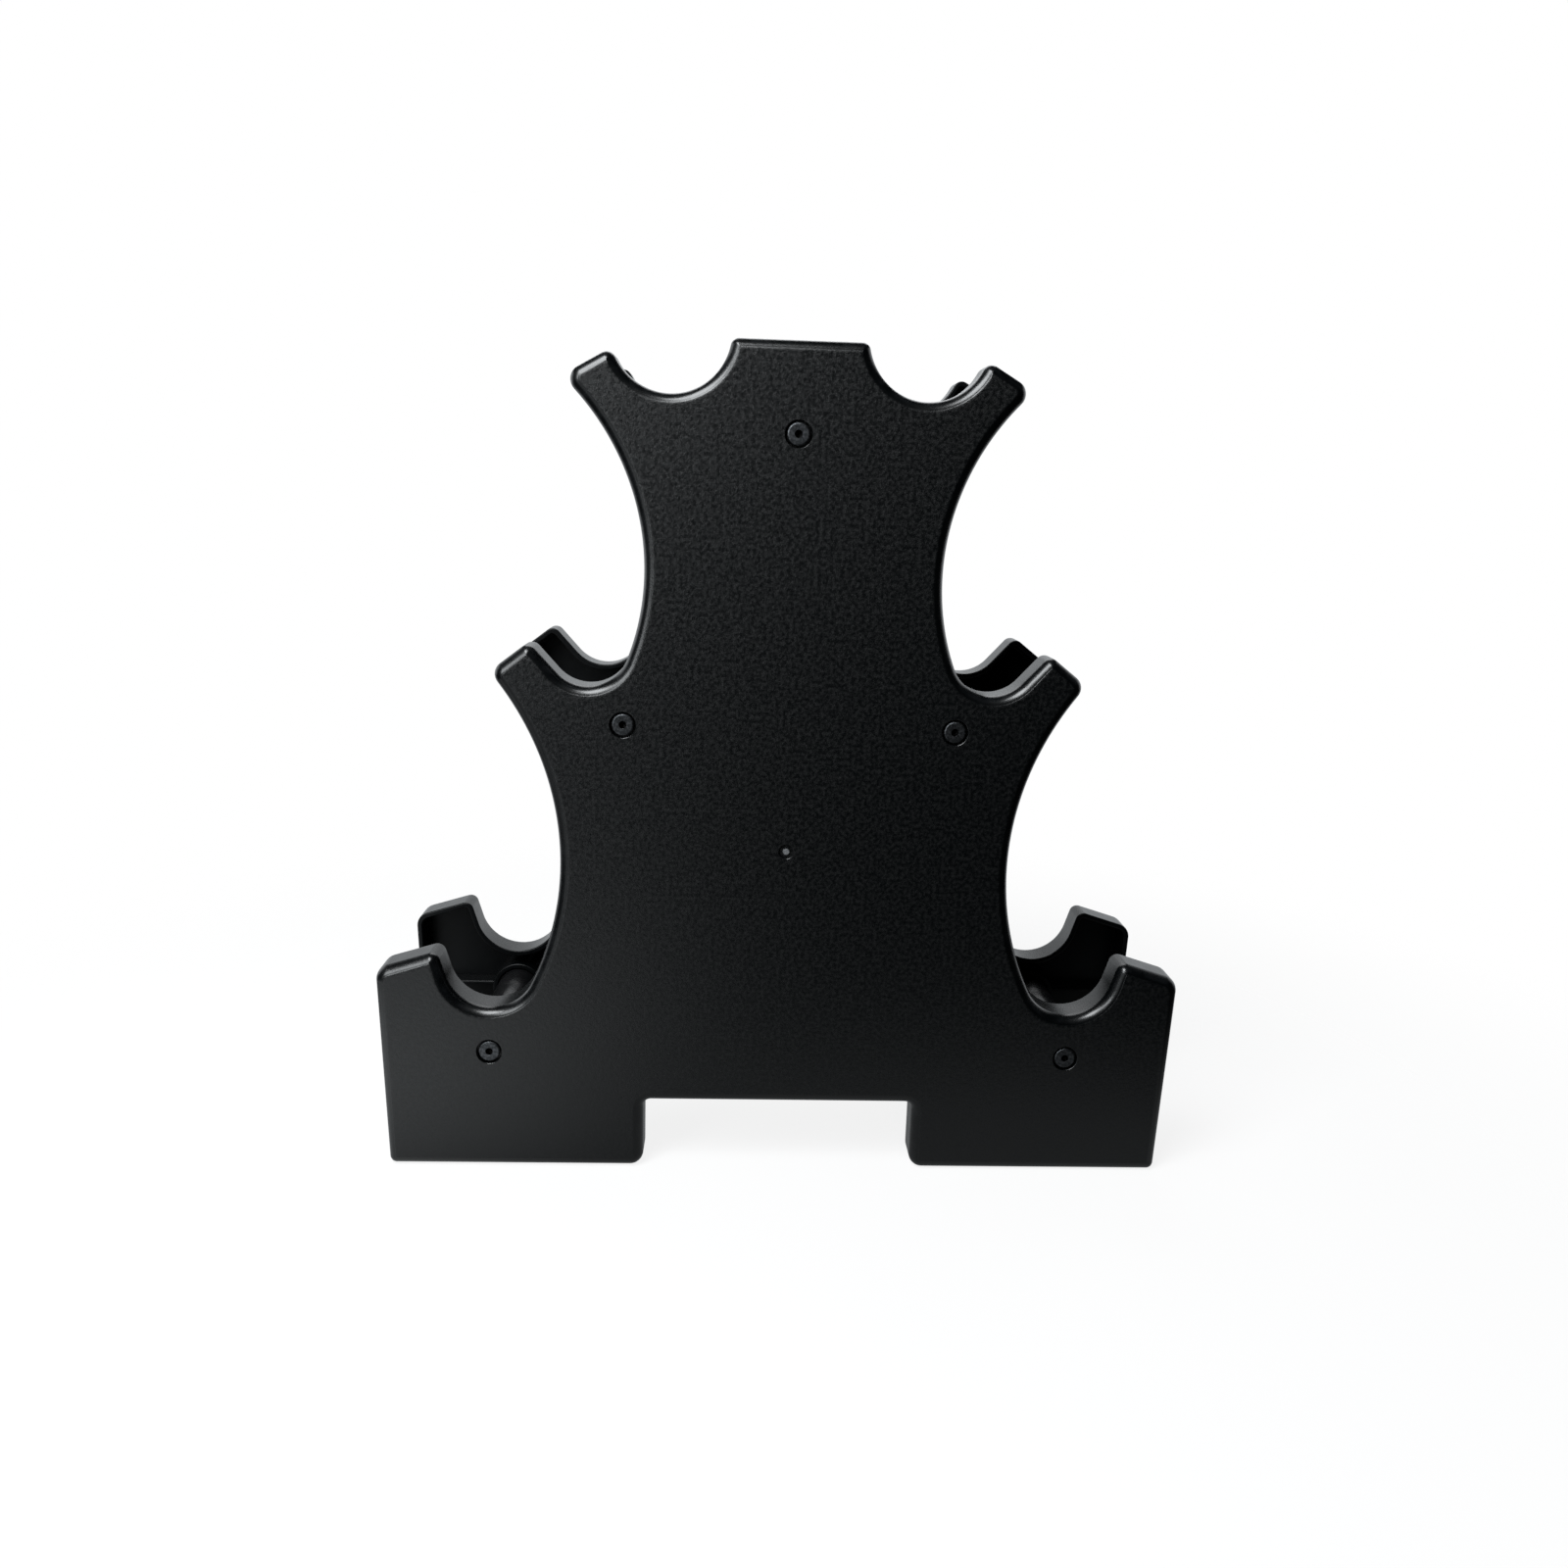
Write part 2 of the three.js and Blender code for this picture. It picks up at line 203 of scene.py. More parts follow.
def outline(inset):
    """The whole outline moved in by an inset, with the same number of points for every inset."""
    sides = [moved_in(side, inset) for side, _ in OUTLINE]
    half = [Vector((0, RACK_HEIGHT - inset))]
    for i, (_, corner) in enumerate(OUTLINE):
        side = sides[i]
        follower = sides[i + 1] if corner is not None else None
        if corner:
            rounding = max(corner - inset, 0) if corner > 0 else corner - inset
            first, second = moved_in(side, rounding), moved_in(follower, rounding)
            centre = crossing(second, first) if "centre" in first else crossing(first, second)
            end = nearest(side, centre)
        elif follower and "centre" in follower:
            end = nearest(side, follower["centre"])
        elif follower:
            end = nearest(follower, side["centre"])
        else:
            end = Vector((0, NOTCH_HEIGHT + inset))
        if "centre" in side:
            half += arc_points(side["centre"], half[-1], end, ARC_STEPS, False)
        else:
            half.append(end)
        if corner:
            half += arc_points(centre, end, nearest(follower, centre), CORNER_STEPS, rounding > 0)
    return half + [Vector((-p.x, p.y)) for p in reversed(half[1:-1])]


# ---- mesh helpers ----


def solid(name, rings):
    """A closed mesh through rings of equal length, in millimetres, with a flat cap at both ends."""
    count = len(rings[0])
    faces = [tuple(range(count)), tuple(range((len(rings) - 1) * count, len(rings) * count))]
    for start in range(0, (len(rings) - 1) * count, count):
        for i in range(count):
            j = (i + 1) % count
            faces.append((start + i, start + j, start + count + j, start + count + i))
    mesh = bpy.data.meshes.new(name)
    mesh.from_pydata([Vector(p) * MM for ring in rings for p in ring], [], faces)
    shell = bmesh.new()
    shell.from_mesh(mesh)
    bmesh.ops.remove_doubles(shell, verts=shell.verts, dist=MERGE_DISTANCE)
    bmesh.ops.dissolve_degenerate(shell, edges=shell.edges, dist=MERGE_DISTANCE)
    bmesh.ops.recalc_face_normals(shell, faces=shell.faces)
    shell.to_mesh(mesh)
    shell.free()
    return bpy.data.objects.new(name, mesh)


def sheath(name, profile):
    """A solid whose rings are the panel's outline, from a profile of (inset, depth)."""
    return solid(name, [[(p.x, depth, p.y) for p in outline(inset)] for inset, depth in profile])


def lathe(name, profile, steps=64, place=(0, 0)):
    """A solid turned about a line along the depth axis, from a profile of (radius, depth)."""
    x, z = place
    turns = [heading(2 * math.pi * i / steps) for i in range(steps)]
    return solid(name, [[(x + r * t.x, depth, z + r * t.y) for t in turns] for r, depth in profile])


def quarter(centre, radius, start, steps=4):
    """A quarter circle of profile points, from a start angle in degrees, turning anticlockwise."""
    angles = (math.radians(start + 90 * i / steps) for i in range(steps + 1))
    return [(centre[0] + radius * math.cos(a), centre[1] + radius * math.sin(a)) for a in angles]


def carved(body, *steps):
    """The body after boolean steps of (operation, tools), as a new mesh in the same object."""
    for operation, tools in steps:
        group = bpy.data.collections.new(operation)
        for tool in tools:
            group.objects.link(tool)
        modifier = body.modifiers.new(operation, "BOOLEAN")
        modifier.operation = operation
        modifier.operand_type = "COLLECTION"
        modifier.collection = group
        modifier.solver = "MANIFOLD"
    bench = bpy.data.collections.new("bench")
    bpy.context.scene.collection.children.link(bench)
    bench.objects.link(body)
    bpy.context.view_layer.update()
    evaluated = body.evaluated_get(bpy.context.evaluated_depsgraph_get())
    result = bpy.data.meshes.new_from_object(evaluated)
    bench.objects.unlink(body)
    bpy.data.collections.remove(bench)
    body.modifiers.clear()
    body.data = result
    for _, tools in steps:
        for tool in tools:
            bpy.data.objects.remove(tool)
    return body


def shaded(body, crease=35):
    """Smooth shading with sharp creases, kept flat where a rounding runs into a flat face."""
    body.data.shade_smooth()
    body.data.set_sharp_from_angle(angle=math.radians(crease))
    flats = body.modifiers.new("flats", "WEIGHTED_NORMAL")
    flats.mode = "FACE_AREA"
    flats.weight = 100
    flats.keep_sharp = True
    return body


# ---- end panel ----


def panel_shell():
    """The tray's outside, with its rounded face edge and its softened rim."""
    bend = quarter((0, FACE_FILLET), FACE_FILLET, 270, FILLET_STEPS)
    fillet = [(FACE_FILLET - x, y) for x, y in bend]
    lip = quarter((0, PANEL_DEPTH - RIM_ROUND), RIM_ROUND, 0, LIP_STEPS)
    rim = [(RIM_ROUND - x, y) for x, y in lip]
    return sheath("panel_shell", fillet + rim)


def panel_pocket():
    """The tray's hollow: a flared mouth at the rim, a slight draft and a rounded floor edge."""
    foot = EDGE_WALL + WALL_DRAFT
    lip = quarter((0, PANEL_DEPTH - RIM_ROUND), RIM_ROUND, 0, LIP_STEPS)
    mouth = [(EDGE_WALL - RIM_ROUND + x, y) for x, y in lip]
    mouth = [(EDGE_WALL - RIM_ROUND, PANEL_DEPTH + OVERCUT)] + mouth[::-1]
    bend = quarter((0, FACE_WALL + FLOOR_ROUND), FLOOR_ROUND, 270, LIP_STEPS)
    floor = [(foot + FLOOR_ROUND - x, y) for x, y in bend]
    return sheath("panel_pocket", mouth + floor[::-1])


def panel_ribs():
    """Stiffening ribs between the screw points, the top edge and the feet."""
    centre = (0, PLACES["middle_right"][1])
    pairs = [((0, RACK_HEIGHT), (0, NOTCH_HEIGHT)), (PLACES["middle_left"], PLACES["middle_right"])]
    pairs.append((PLACES["lower_left"], PLACES["lower_right"]))
    for side in ("left", "right"):
        middle, lower = PLACES[f"middle_{side}"], PLACES[f"lower_{side}"]
        below, beside = (lower[0], 0), (math.copysign(BASE_SIDE_X, lower[0]), lower[1])
        pairs += [(PLACES["top"], middle), (middle, lower), (centre, lower), (lower, below), (lower, beside)]
    crown, half_crown = FACE_WALL + RIB_HEIGHT, RIB_CROWN / 2
    section = [(-RIB_BASE / 2, FACE_WALL - OVERCUT), (-half_crown, crown - RIB_BEVEL_HEIGHT)]
    section.append((RIB_BEVEL - half_crown, crown))
    section += [(-across, depth) for across, depth in reversed(section)]
    ribs = []
    for start, end in pairs:
        start, end = Vector(start), Vector(end)
        across = (end - start).normalized().orthogonal()
        rings = [[(*(p + across * offset), depth) for offset, depth in section] for p in (start, end)]
        ribs.append(solid("rib", [[(x, depth, z) for x, z, depth in ring] for ring in rings]))
    return ribs


def panel_bosses():
    """A round boss behind each screw point, for the tube's seat."""
    crown = quarter((BOSS_RADIUS - RIM_ROUND, PANEL_DEPTH - RIM_ROUND), RIM_ROUND, 0, LIP_STEPS)
    profile = [(BOSS_RADIUS + WALL_DRAFT, FACE_WALL - OVERCUT), *crown]
    return [lathe("boss", profile, place=place) for place in PLACES.values()]


def flared_bore(radius, mouth, rounding, bottom):
    """Profile of a cutter for a blind bore whose mouth, at a depth, is rounded over."""
    inwards = 1 if bottom > mouth else -1
    bend = quarter((0, 0), rounding, 0)[::-1][1:]
    lip = [(radius + rounding - x, mouth + inwards * (rounding - y)) for x, y in bend]
    return [(lip[0][0], mouth - inwards * OVERCUT), *lip, (radius, bottom)]


def panel_cuts():
    """The screw recesses, screw holes and tube seats, and the dimple of the gate mark."""
    recess = flared_bore(RECESS_RADIUS, 0, RECESS_ROUND, RECESS_DEPTH)
    hole = [(SCREW_HOLE_RADIUS, RECESS_DEPTH - OVERCUT), (SCREW_HOLE_RADIUS, SEAT_START + OVERCUT)]
    seat = flared_bore(SEAT_RADIUS, PANEL_DEPTH, RIM_ROUND, SEAT_START)
    cuts = []
    for place in PLACES.values():
        cuts += [lathe("cut", profile, place=place) for profile in (recess, hole, seat)]
    dimple = flared_bore(DIMPLE_RADIUS - DIMPLE_ROUND, 0, DIMPLE_ROUND, DIMPLE_DEPTH)
    return cuts + [lathe("cut", dimple, place=(0, GATE_Z))]


def gate_nub():
    """The stub where the moulding's gate was cut off."""
    top = DIMPLE_DEPTH - NUB_HEIGHT
    profile = [(NUB_RADIUS * NUB_FLAT, top), (NUB_RADIUS * NUB_SHOULDER, top + NUB_SHOULDER_DROP)]
    profile += [(NUB_RADIUS, top + NUB_EDGE_DROP), (NUB_RADIUS, DIMPLE_DEPTH + OVERCUT)]
    return lathe("nub", profile, NUB_STEPS, (0, GATE_Z))


def panel_mesh():
    """The whole moulding, with its flat faces cleared of the boolean steps' extra edges."""
    room = sheath("room", [(EDGE_WALL / 2, FACE_WALL / 2), (EDGE_WALL / 2, PANEL_DEPTH - OVERCUT)])
    ribs = [carved(rib, ("INTERSECT", [room.copy()])) for rib in panel_ribs()]
    bpy.data.objects.remove(room)
    panel = carved(
        panel_shell(),
        ("DIFFERENCE", [panel_pocket()]),
        ("UNION", ribs + panel_bosses()),
        ("DIFFERENCE", panel_cuts()),
        ("UNION", [gate_nub()]),
    )
    mesh = panel.data
    bpy.data.objects.remove(panel)
    shell = bmesh.new()
    shell.from_mesh(mesh)
    flat = math.radians(FLAT_ANGLE)
    bmesh.ops.dissolve_limit(shell, angle_limit=flat, verts=shell.verts, edges=shell.edges)
    shell.to_mesh(mesh)
    shell.free()
    return mesh


# ---- hardware, along its axis ----

HEAD_RADIUS, HEAD_HEIGHT, HEAD_SEAT = 4.85, 2.75, 3.1
HEAD_CROWN_RADIUS, HEAD_ROUND, HEAD_STEPS, HEAD_BEVEL = 3.9, 0.8, 8, 0.12
SOCKET_FLATS, SOCKET_DEPTH = 3, 2.2
SOCKET_POINT, SOCKET_POINT_RADIUS = 0.7, 0.2
MOUTH_FLARE, MOUTH_RISE, MOUTH_TAPER, MOUTH_DEPTH, MOUTH_STEPS = 0.5, 0.5, 0.3, 0.25, 32
THREAD_RADIUS, THREAD_PITCH, THREAD_DEPTH = 2.45, 0.8, 0.42
THREAD_RELIEF, THREAD_END, PITCH_STEPS, THREAD_STEPS = 0.4, 0.9, 6, 32
THREAD_RUNOUT, TIP_DEPTH = 0.3, 1.1  # as parts of the thread's depth
SCREW_LENGTH, SCREW_NECK = 16, 0.3
TUBE_WALL, TUBE_BURR, TUBE_STEPS = 1.2, 0.25, 96


def hexagon_radius(flats):
    """The corner radius of a hexagon, from its width across flats."""
    return flats / math.sqrt(3)


def screw_mesh():
    """A button-head screw: domed head, chamfered hexagon socket and a cut thread."""
    top = HEAD_SEAT - HEAD_HEIGHT
    profile = []
    for i in range(HEAD_STEPS + 1):
        turn = math.radians(90 * i / HEAD_STEPS)
        radius = HEAD_CROWN_RADIUS + (HEAD_RADIUS - HEAD_CROWN_RADIUS) * math.sin(turn)
        profile.append((radius, top + HEAD_ROUND * (1 - math.cos(turn))))
    profile += [(HEAD_RADIUS, HEAD_SEAT - HEAD_BEVEL), (HEAD_RADIUS - HEAD_BEVEL, HEAD_SEAT)]
    profile.append((THREAD_RADIUS + SCREW_NECK, HEAD_SEAT))
    rings = [[(r, depth)] * THREAD_STEPS for r, depth in profile]
    samples = round((SCREW_LENGTH - THREAD_END) / THREAD_PITCH * PITCH_STEPS)
    for k in range(samples + 1):
        depth = HEAD_SEAT + THREAD_RELIEF + k * THREAD_PITCH / PITCH_STEPS
        fade = min(1, k / PITCH_STEPS, (samples - k) / PITCH_STEPS + THREAD_RUNOUT)
        phases = [(depth / THREAD_PITCH - i / THREAD_STEPS) % 1 for i in range(THREAD_STEPS)]
        rings.append([(THREAD_RADIUS - THREAD_DEPTH * abs(2 * phase - 1) * fade, depth) for phase in phases])
    rings.append([(THREAD_RADIUS - TIP_DEPTH * THREAD_DEPTH, HEAD_SEAT + SCREW_LENGTH)] * THREAD_STEPS)
    turns = [heading(2 * math.pi * i / THREAD_STEPS) for i in range(THREAD_STEPS)]
    body = solid("screw", [[(r * t.x, d, r * t.y) for (r, d), t in zip(ring, turns)] for ring in rings])
    corner = hexagon_radius(SOCKET_FLATS)
    floor = top + SOCKET_DEPTH
    hexagon = [(corner, top - OVERCUT), (corner, floor), (SOCKET_POINT_RADIUS, floor + SOCKET_POINT)]
    chamfer = [(corner + MOUTH_FLARE, top - MOUTH_RISE), (corner - MOUTH_TAPER, top + MOUTH_DEPTH)]
    cutters = [lathe("key", hexagon, 6), lathe("mouth", chamfer, MOUTH_STEPS)]
    return carved(body, ("DIFFERENCE", cutters)).data


def tube_mesh():
    """A cut steel tube with deburred ends."""
    low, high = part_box("top_tube")
    reach, radius = (high.y - low.y) / 2 / MM, (high.x - low.x) / 2 / MM
    end = [(radius, reach - TUBE_BURR), (radius - TUBE_BURR, reach)]
    outside = [(r, -depth) for r, depth in reversed(end)] + end
    bore = [(radius - TUBE_WALL, -reach - OVERCUT), (radius - TUBE_WALL, reach + OVERCUT)]
    cutter = lathe("bore", bore, TUBE_STEPS)
    return carved(lathe("tube", outside, TUBE_STEPS), ("DIFFERENCE", [cutter])).data


# ---- placing ----

LIFT = {
    "front": Matrix.Translation((0, cad_low.y, 0)),
    "rear": Matrix.Rotation(math.pi, 4, "Z") @ Matrix.Translation((0, cad_low.y, 0)),
}


def place(name, mesh, matrix, material, slot_name, *nodes):
    """Shows a mesh as a piece of the rack, in the stead of its CAD nodes."""
    piece = bpy.data.objects.new(name, mesh)
    bpy.context.scene.collection.objects.link(piece)
    piece.matrix_world = matrix
    mesh.materials.clear()
    mesh.materials.append(material)
    shaded(piece)
    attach(piece, "root")
    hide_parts(*nodes)


# ---- materials ----


class Nodes:
    """A node tree, with short calls for adding nodes."""

    def __init__(self, tree):
        self.tree = tree

    def node(self, kind, inputs=(), **settings):
        made = self.tree.nodes.new(kind)
        for key, value in settings.items():
            setattr(made, key, value)
        for key, value in dict(inputs).items():
            if isinstance(value, bpy.types.NodeSocket):
                self.tree.links.new(value, made.inputs[key])
            else:
                made.inputs[key].default_value = value
        return made

    def remap(self, value, low, high, to_low=0.0, to_high=1.0):
        inputs = {0: value, 1: low, 2: high, 3: to_low, 4: to_high}
        return self.node("ShaderNodeMapRange", inputs, interpolation_type="SMOOTHSTEP").outputs[0]

    def maths(self, operation, first, second=0.0):
        return self.node("ShaderNodeMath", {0: first, 1: second}, operation=operation).outputs[0]

    def vector(self, operation, first, second=(0, 0, 0)):
        return self.node("ShaderNodeVectorMath", {0: first, 1: second}, operation=operation).outputs[0]

    def length(self, vector):
        return self.node("ShaderNodeVectorMath", {0: vector}, operation="LENGTH").outputs["Value"]


class Finish(Nodes):
    """A node material on a Principled shader. Noise scales are per metre, and bump distances in metres."""

    def __init__(self, name, **values):
        self.material = bpy.data.materials.new(name)
        self.material.use_nodes = True
        super().__init__(self.material.node_tree)
        self.shader = self.tree.nodes["Principled BSDF"]
        self.spots = self.node("ShaderNodeTexCoord")
        for socket, value in values.items():
            self.shader.inputs[socket.replace("_", " ")].default_value = value

    def noise(self, scale, detail=2.0, roughness=0.5):
        inputs = {"Vector": self.spots.outputs["Object"], "Scale": scale}
        inputs |= {"Detail": detail, "Roughness": roughness}
        return self.node("ShaderNodeTexNoise", inputs).outputs["Fac"]

    def blend(self, amount, first, second):
        made = self.node("ShaderNodeMix", {"Factor": amount}, data_type="RGBA")
        colour_sockets = made.inputs[6], made.inputs[7]
        for socket, colour in zip(colour_sockets, (first, second)):
            if isinstance(colour, bpy.types.NodeSocket):
                self.tree.links.new(colour, socket)
            else:
                socket.default_value = (*colour, 1)
        return made.outputs[2]

    def bump(self, height, distance, strength=1.0):
        inputs = {"Height": height, "Distance": distance, "Strength": strength}
        return self.node("ShaderNodeBump", inputs).outputs[0]

    def facing(self):
        """How far a surface of a panel faces: -1 on the outer face, 0 on the edge, and 1 on the inside."""
        return self.node("ShaderNodeSeparateXYZ", {0: self.spots.outputs["Normal"]}).outputs["Y"]

    def near_axis(self, x, z, inner, outer):
        """1 within an inner distance of a line along the depth axis, and 0 beyond an outer distance."""
        parts = self.node("ShaderNodeSeparateXYZ", {0: self.spots.outputs["Object"]}).outputs
        across = self.maths("POWER", self.maths("SUBTRACT", parts["X"], x), 2.0)
        up = self.maths("POWER", self.maths("SUBTRACT", parts["Z"], z), 2.0)
        away = self.maths("SQRT", self.maths("ADD", across, up))
        return self.remap(away, inner, outer, 1.0, 0.0)

    def link(self, output, socket):
        self.tree.links.new(output, self.shader.inputs[socket])


def moulded_plastic():
    """Black panel plastic: a grained face, edges worn smooth, a dull inside and a whitened gate stub."""
    finish = Finish("moulded_plastic", IOR=1.49)
    facing = finish.facing()
    face = finish.remap(facing, -0.998, -0.95, 1.0, 0.0)
    inside = finish.remap(facing, 0.3, 0.7)
    rounding = finish.remap(facing, -0.6, -0.3, 1.0, 0.0)
    rounding = finish.maths("MULTIPLY", finish.remap(facing, -0.95, -0.8), rounding)
    wear = finish.maths("MULTIPLY", rounding, finish.remap(finish.noise(140, 4), 0.42, 0.62))
    colour = finish.blend(finish.noise(9, 4), (0.0004, 0.0007, 0.0009), (0.0009, 0.0013, 0.0016))
    colour = finish.blend(finish.maths("MULTIPLY", wear, 0.3), colour, (0.010, 0.011, 0.012))
    outer = finish.remap(facing, -0.5, 0.0, 1.0, 0.0)
    stub = finish.near_axis(0, GATE_Z * MM, NUB_RADIUS * MM * 0.7, NUB_RADIUS * MM * 1.05)
    stub = finish.maths("MULTIPLY", outer, stub)
    torn = finish.maths("MULTIPLY", stub, finish.remap(finish.noise(1400, 3), 0.3, 0.6, 0.4, 1.0))
    finish.link(finish.blend(torn, colour, (0.13, 0.135, 0.14)), "Base Color")
    rough = finish.maths("MULTIPLY", face, finish.remap(finish.noise(620, 2), 0.34, 0.66, 0.03, 0.19))
    rough = finish.maths("ADD", rough, finish.remap(finish.noise(220, 4), 0.3, 0.7, 0.25, 0.29))
    rough = finish.maths("ADD", rough, finish.maths("MULTIPLY", inside, 0.12))
    finish.link(finish.remap(inside, 0.0, 1.0, 0.5, 0.18), "Specular IOR Level")
    finish.link(finish.maths("ADD", rough, finish.maths("MULTIPLY", stub, 0.3)), "Roughness")
    grained = finish.maths("MULTIPLY", finish.noise(520, 5, 0.75), finish.remap(face, 0.0, 1.0, 0.012, 1.0))
    finish.link(finish.bump(grained, 0.00024, 0.8), "Normal")
    return finish.material


def powder_coat():
    """Black powder coat with a soft orange peel."""
    finish = Finish("powder_coat", IOR=1.5)
    colour = finish.blend(finish.noise(40, 3), (0.003, 0.003, 0.0035), (0.006, 0.006, 0.0065))
    finish.link(colour, "Base Color")
    finish.link(finish.remap(finish.noise(120, 3), 0.3, 0.7, 0.22, 0.30), "Roughness")
    finish.link(finish.bump(finish.noise(700, 2), 0.00005, 0.5), "Normal")
    return finish.material


def black_steel():
    """Blackened screw steel, a little brighter where handling has rubbed it, with painted shade in its
    socket.
    """
    finish = Finish("black_steel", Metallic=1.0)
    polish = finish.remap(finish.noise(900, 4), 0.4, 0.65)
    colour = finish.blend(polish, (0.042, 0.045, 0.048), (0.090, 0.094, 0.100))
    corner = hexagon_radius(SOCKET_FLATS) * MM
    # Painted shade: the hexagon socket is coloured near black, standing in for the shade that falls inside
    # the recess.
    socket = finish.near_axis(0, 0, corner * 0.9, corner * 1.05)
    finish.link(finish.blend(socket, colour, (0.004, 0.004, 0.004)), "Base Color")
    finish.link(finish.remap(finish.noise(1500, 3), 0.3, 0.7, 0.40, 0.52), "Roughness")
    finish.link(finish.bump(finish.noise(3000, 2), 0.00001, 0.5), "Normal")
    return finish.material


def zinc_steel():
    """Bright zinc plating with a faint spangle."""
    finish = Finish("zinc_steel", Metallic=1.0)
    colour = finish.blend(finish.noise(500, 3), (0.50, 0.50, 0.48), (0.66, 0.66, 0.65))
    finish.link(colour, "Base Color")
    finish.link(finish.remap(finish.noise(900, 3), 0.3, 0.7, 0.28, 0.42), "Roughness")
    finish.link(finish.bump(finish.noise(2500, 2), 0.00001, 0.4), "Normal")
    return finish.material


def nylon():
    """Black moulded nylon of the tube plugs."""
    finish = Finish("nylon", IOR=1.53)
    colour = finish.blend(finish.noise(150, 3), (0.018, 0.018, 0.019), (0.030, 0.030, 0.031))
    finish.link(colour, "Base Color")
    finish.link(finish.remap(finish.noise(300, 3), 0.3, 0.7, 0.5, 0.62), "Roughness")
    finish.link(finish.bump(finish.noise(1800, 3), 0.00002, 0.6), "Normal")
    return finish.material


PANEL_FINISH = moulded_plastic()
TUBE_FINISH = powder_coat()
SCREW_FINISH = black_steel()
CARRIED_FINISHES = {"plug": nylon(), "nut": zinc_steel()}

# ---- the rack ----

panel = panel_mesh()
screw = screw_mesh()
tube = tube_mesh()
for end, lift in LIFT.items():
    place(f"{end}_panel_moulding", panel, lift, PANEL_FINISH, "panel", f"{end}_panel")
    for station, (x, z) in PLACES.items():
        across = x if end == "front" else -x
        seat = lift @ Matrix.Translation((across * MM, 0, z * MM))
        place(f"{end}_{station}_screw_fine", screw, seat, SCREW_FINISH, "screw", f"{end}_{station}_screw")
for station, (x, z) in PLACES.items():
    spot = Matrix.Translation((x * MM, 0, z * MM))
    place(f"{station}_tube_fine", tube, spot, TUBE_FINISH, "tube", f"{station}_tube")
for name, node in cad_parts.items():
    kind = name.rsplit("_", 1)[-1]
    if kind in CARRIED_FINISHES:
        for material_slot in node.material_slots:
            material_slot.material = CARRIED_FINISHES[kind]

# ---- studio ----

FLOOR_GLOW, FLOOR_SHADOW = 0.86, 0.12
FLOOR_FADE_START, FLOOR_FADE_END, FLOOR_STEPS = 0.25, 0.6, 96
WORLD_DIM, WORLD_BACKDROP = 0.003, 0.8
# Pools of light on the floor that the rack mirrors: place, size across, size in depth, and strength.
# Each is even over its core, the inner part of its size, and fades out from there.
POOL_CORE = 0.4
FLOOR_POOLS = (((-0.35, -0.25), 0.35, 0.35, 1.35), ((0.06, -0.05), 0.34, 0.2, 0.3))


class Stage(Nodes):
    """An emptied node tree for the floor or the surroundings."""

    def __init__(self, tree):
        super().__init__(tree)
        tree.nodes.clear()
        self.seen = self.node("ShaderNodeLightPath").outputs["Is Camera Ray"]

    def mixed(self, amount, first, second):
        return self.node("ShaderNodeMixShader", {0: amount, 1: first, 2: second}).outputs[0]


def studio_floor():
    """A pale floor that fades into the pale surroundings. The rack itself sees it dimmer."""
    mesh = bpy.data.meshes.new("studio_floor")
    shell = bmesh.new()
    bmesh.ops.create_circle(shell, cap_ends=True, radius=FLOOR_FADE_END, segments=FLOOR_STEPS)
    shell.to_mesh(mesh)
    shell.free()
    floor = bpy.data.objects.new("studio_floor", mesh)
    bpy.context.scene.collection.objects.link(floor)
    material = bpy.data.materials.new("studio_floor")
    material.use_nodes = True
    stage = Stage(material.node_tree)
    paper = stage.node("ShaderNodeBsdfDiffuse", {"Color": (FLOOR_SHADOW,) * 3 + (1,)}).outputs[0]
    glow = stage.node("ShaderNodeEmission", {"Strength": FLOOR_GLOW}).outputs[0]
    shown = stage.node("ShaderNodeAddShader", {0: paper, 1: glow}).outputs[0]
    place_on_floor = stage.node("ShaderNodeTexCoord").outputs["Object"]
    pools = 0.0
    for (x, y), across, deep, strength in FLOOR_POOLS:
        moved = stage.vector("SUBTRACT", place_on_floor, (x, y, 0))
        away = stage.length(stage.vector("MULTIPLY", moved, (1 / across, 1 / deep, 1)))
        pools = stage.maths("ADD", stage.remap(away, POOL_CORE, 1.0, strength, 0.0), pools)
    mirrored = stage.node("ShaderNodeEmission", {"Color": (0.94, 0.98, 1.0, 1), "Strength": pools}).outputs[0]
    fade = stage.remap(stage.length(place_on_floor), FLOOR_FADE_START, FLOOR_FADE_END)
    clear = stage.node("ShaderNodeBsdfTransparent").outputs[0]
    both = stage.mixed(stage.seen, mirrored, shown)
    stage.node("ShaderNodeOutputMaterial", {0: stage.mixed(fade, both, clear)})
    mesh.materials.append(material)


def studio_world():
    """White surroundings. The rack itself sees a bright low backdrop behind it, and little else."""
    world = bpy.data.worlds.new("studio")
    bpy.context.scene.world = world
    world.use_nodes = True
    stage = Stage(world.node_tree)
    way = stage.node("ShaderNodeTexCoord").outputs["Generated"]
    parts = stage.node("ShaderNodeSeparateXYZ", {0: way})
    behind = stage.remap(parts.outputs["Y"], 0.2, 0.6)
    low_down = stage.remap(parts.outputs["Z"], 0.35, 0.5, 1.0, 0.0)
    backdrop = stage.maths("MULTIPLY", behind, low_down)
    glow = stage.remap(backdrop, 0.0, 1.0, WORLD_DIM, WORLD_BACKDROP)
    lit = stage.node("ShaderNodeBackground", {"Color": (0.93, 0.97, 1.0, 1), "Strength": glow}).outputs[0]
    white = stage.node("ShaderNodeBackground", {"Color": (1, 1, 1, 1), "Strength": 1.0}).outputs[0]
    stage.node("ShaderNodeOutputWorld", {0: stage.mixed(stage.seen, lit, white)})


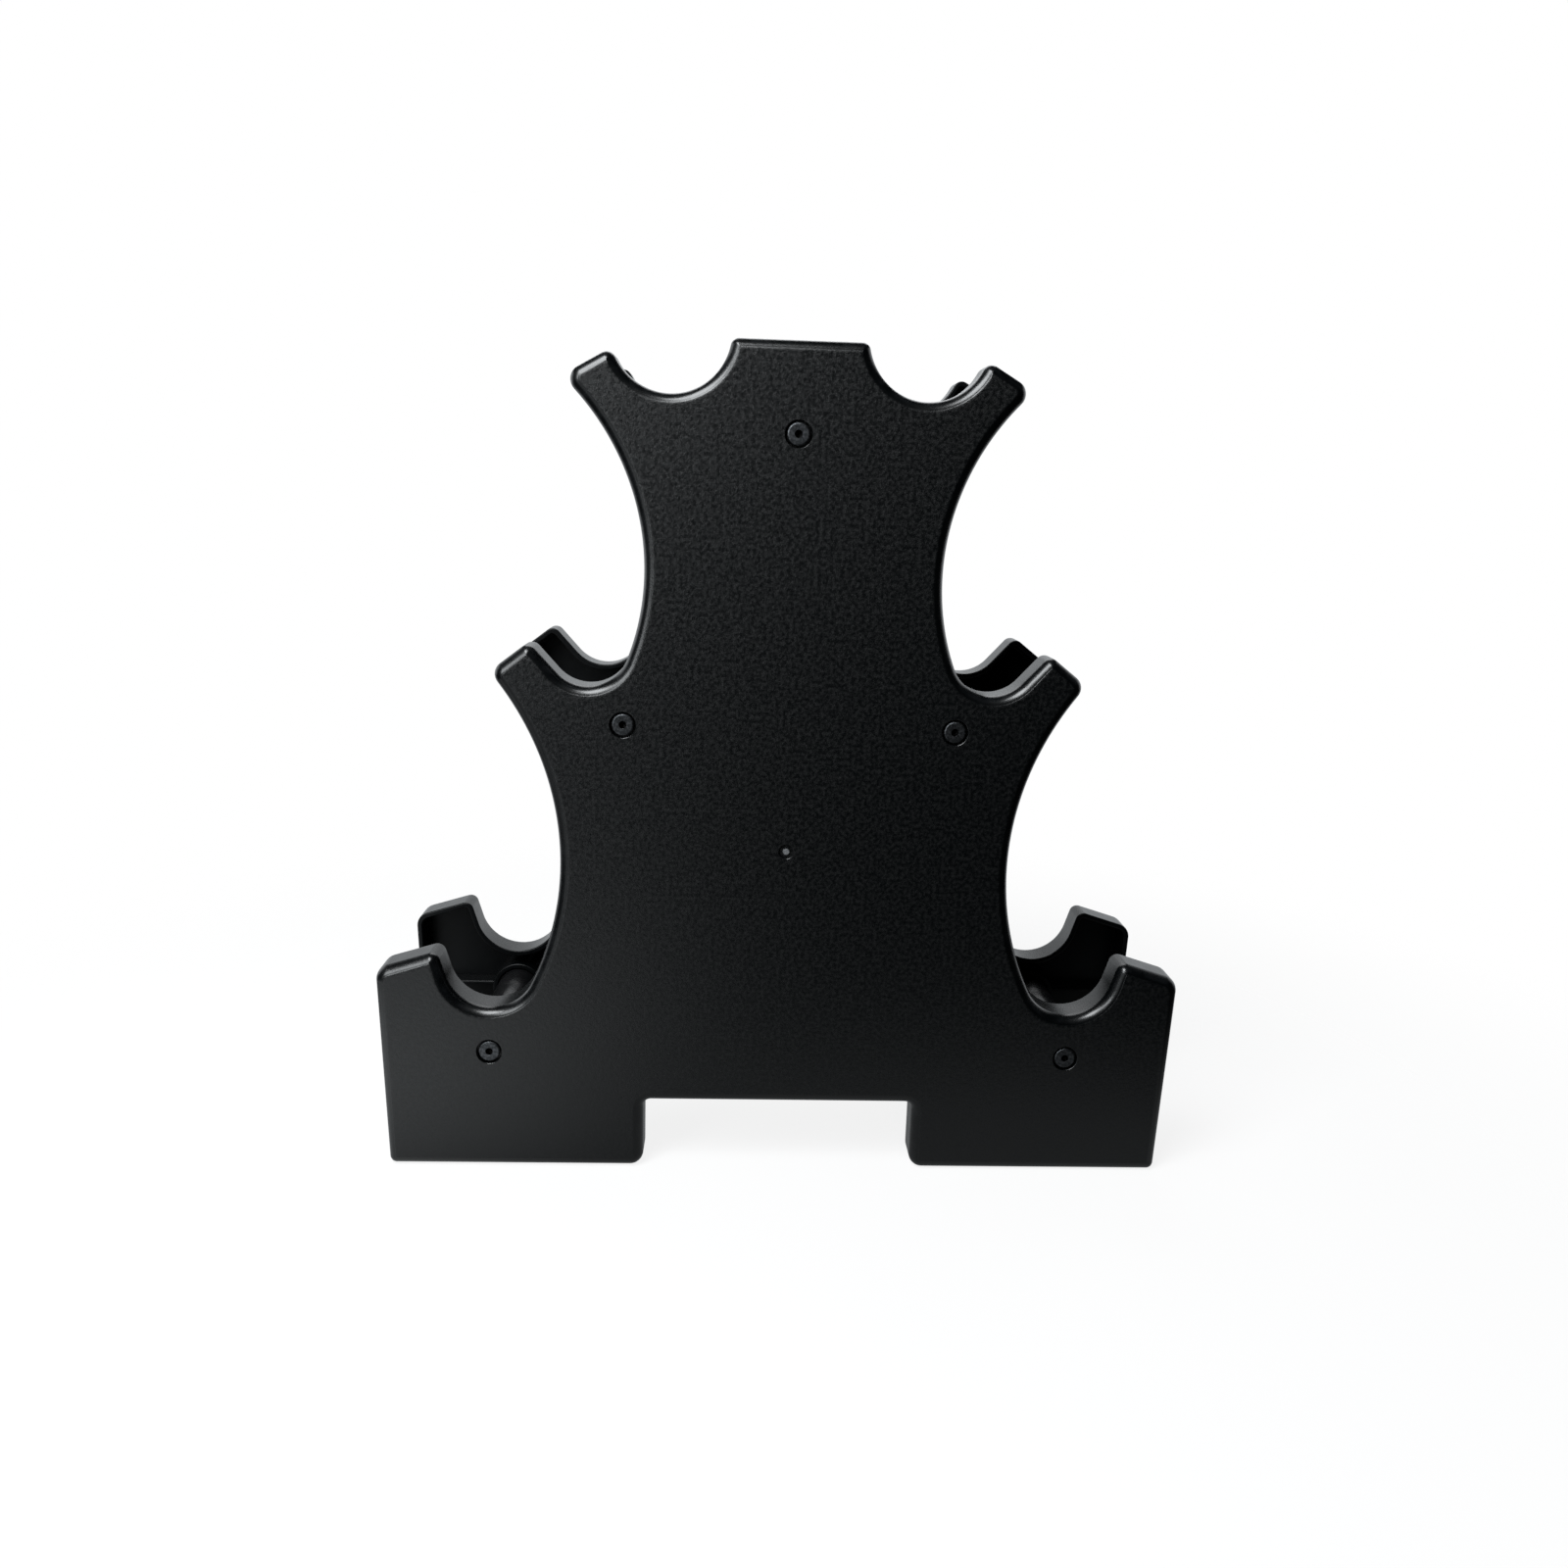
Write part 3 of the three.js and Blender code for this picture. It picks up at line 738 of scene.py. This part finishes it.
def softbox(name, place_at, target, width, height, power, colour):
    """A rectangular soft light that faces a target."""
    light = bpy.data.lights.new(name, "AREA")
    light.shape = "RECTANGLE"
    light.size, light.size_y = width, height
    light.energy = power
    light.color = colour
    box = bpy.data.objects.new(name, light)
    box.location = place_at
    box.visible_camera = False
    box.rotation_euler = (Vector(target) - Vector(place_at)).to_track_quat("-Z", "Y").to_euler()
    bpy.context.scene.collection.objects.link(box)


studio_floor()
studio_world()
middle = Vector((0, 0, RACK_HEIGHT * MM / 2))
softbox("key", (-0.35, -0.5, 0.95), middle, 0.5, 0.5, 13, (0.95, 0.98, 1.0))
softbox("front_left", (-0.68, -0.78, 0.56), middle, 0.35, 0.5, 4.6, (0.94, 0.98, 1.0))
softbox("left_fill", (-0.65, -0.8, 0.3), middle, 0.6, 1.0, 1.2, (0.92, 0.97, 1.0))
softbox("rear_key", (0.0, 0.9, 1.0), middle, 1.0, 0.7, 5, (0.96, 0.98, 1.0))
softbox("rear_left", (-1.1, 0.5, 0.5), middle, 0.8, 0.8, 2, (0.94, 0.97, 1.0))
softbox("rear_right", (1.1, 0.5, 0.5), middle, 0.8, 0.8, 1.2, (0.94, 0.97, 1.0))

# ---- camera ----

CAMERA_X, CAMERA_HEIGHT, CAMERA_DISTANCE = -22.6, 304.9, 545.9
YAW, PITCH, ROLL = 2.64, 12.41, 1.81
LENS_LENGTH, SENSOR_WIDTH, LENS_SHIFT = 29.355, 36, -0.0064

lens = bpy.data.cameras.new("camera")
lens.lens = LENS_LENGTH
lens.sensor_width = SENSOR_WIDTH
lens.shift_x = LENS_SHIFT
camera = bpy.data.objects.new("camera", lens)
bpy.context.scene.collection.objects.link(camera)
aim = Matrix.Rotation(math.radians(-YAW), 4, "Z") @ Matrix.Rotation(math.radians(90 - PITCH), 4, "X")
stand = Matrix.Translation((CAMERA_X * MM, cad_low.y - CAMERA_DISTANCE * MM, CAMERA_HEIGHT * MM))
camera.matrix_world = stand @ aim @ Matrix.Rotation(math.radians(ROLL), 4, "Z")
bpy.context.scene.camera = camera
bpy.context.scene.view_settings.view_transform = "Standard"
